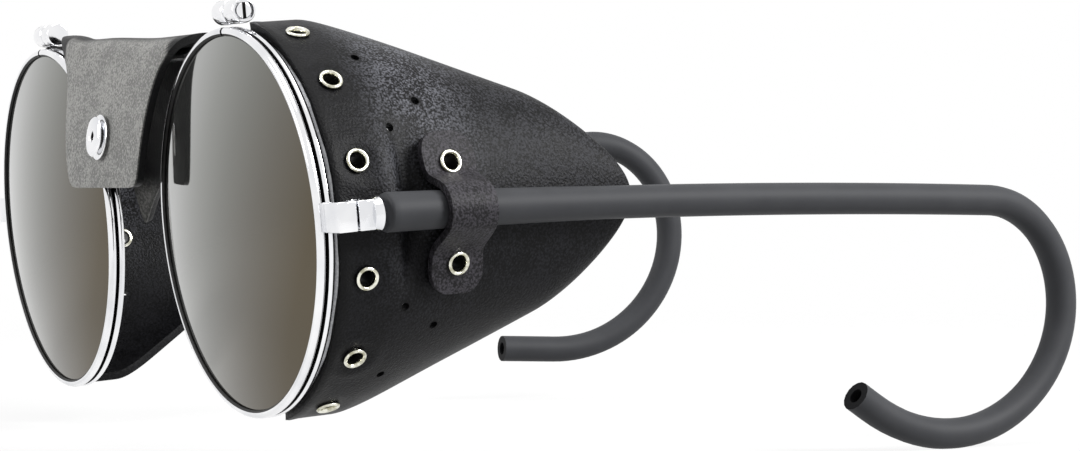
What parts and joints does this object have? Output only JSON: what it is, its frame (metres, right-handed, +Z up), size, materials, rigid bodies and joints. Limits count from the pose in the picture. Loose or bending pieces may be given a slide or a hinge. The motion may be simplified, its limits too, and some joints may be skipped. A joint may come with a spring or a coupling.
{
  "type": "glacier glasses",
  "caption": "Round metal glacier glasses with mirrored lenses, riveted leather side shields, a leather nose cover and folding cable temples that hook round the ears.",
  "frame": {"origin": "centre of the underside of the bounding box, with the temples open", "axes": "+X to the wearer's left, +Y back along the temples, +Z up; the lenses face -Y"},
  "size_m": [0.1452, 0.1368, 0.0643],
  "materials": {
    "chrome": "polished",
    "spring_steel": "satin",
    "mirror_lens": "mirror coated",
    "black_leather": "grained",
    "black_rubber": "satin"
  },
  "bodies": {
    "front": {"bridge_bar": "chrome", "closing_barrel_nasal_left": "chrome", "closing_barrel_nasal_right": "chrome", "closing_barrel_temple_left": "chrome", "closing_barrel_temple_right": "chrome", "closing_screw_left": "chrome", "closing_screw_right": "chrome", "end_piece_left": "chrome", "end_piece_right": "chrome", "eyelet_1_left": "chrome", "eyelet_1_right": "chrome", "eyelet_2_left": "chrome", "eyelet_2_right": "chrome", "eyelet_3_left": "chrome", "eyelet_3_right": "chrome", "eyelet_4_left": "chrome", "eyelet_4_right": "chrome", "eyelet_5_left": "chrome", "eyelet_5_right": "chrome", "eyelet_6_left": "chrome", "eyelet_6_right": "chrome", "hem_strip_left": "black_leather", "hem_strip_right": "black_leather", "hinge_screw_left": "chrome", "hinge_screw_right": "chrome", "lens_left": "mirror_lens", "lens_right": "mirror_lens", "nose_leather": "black_leather", "nose_stud": "chrome", "rim_left": "chrome", "rim_right": "chrome", "shield_hoop_left": "chrome", "shield_hoop_right": "chrome", "side_shield_left": "black_leather", "side_shield_right": "black_leather"},
    "temple_left": {"strap_eyelet_lower_left": "chrome", "strap_eyelet_upper_left": "chrome", "temple_core_left": "spring_steel", "temple_lug_left": "chrome", "temple_sleeve_left": "black_rubber", "temple_strap_left": "black_leather"},
    "temple_right": {"strap_eyelet_lower_right": "chrome", "strap_eyelet_upper_right": "chrome", "temple_core_right": "spring_steel", "temple_lug_right": "chrome", "temple_sleeve_right": "black_rubber", "temple_strap_right": "black_leather"}
  },
  "joints": [
    {"name": "temple_fold_left", "type": "hinge", "parent": "front", "child": "temple_left", "pos_m": [0.06801, -0.05623, 0.03481], "axis": [0, -0.0884, 0.9961], "range_deg": [0, 70], "deforming": ["side_shield_left", "hem_strip_left"]},
    {"name": "temple_fold_right", "type": "hinge", "parent": "front", "child": "temple_right", "pos_m": [-0.06801, -0.05623, 0.03481], "axis": [0, 0.0884, -0.9961], "range_deg": [0, 73], "deforming": ["side_shield_right", "hem_strip_right"]}
  ]
}
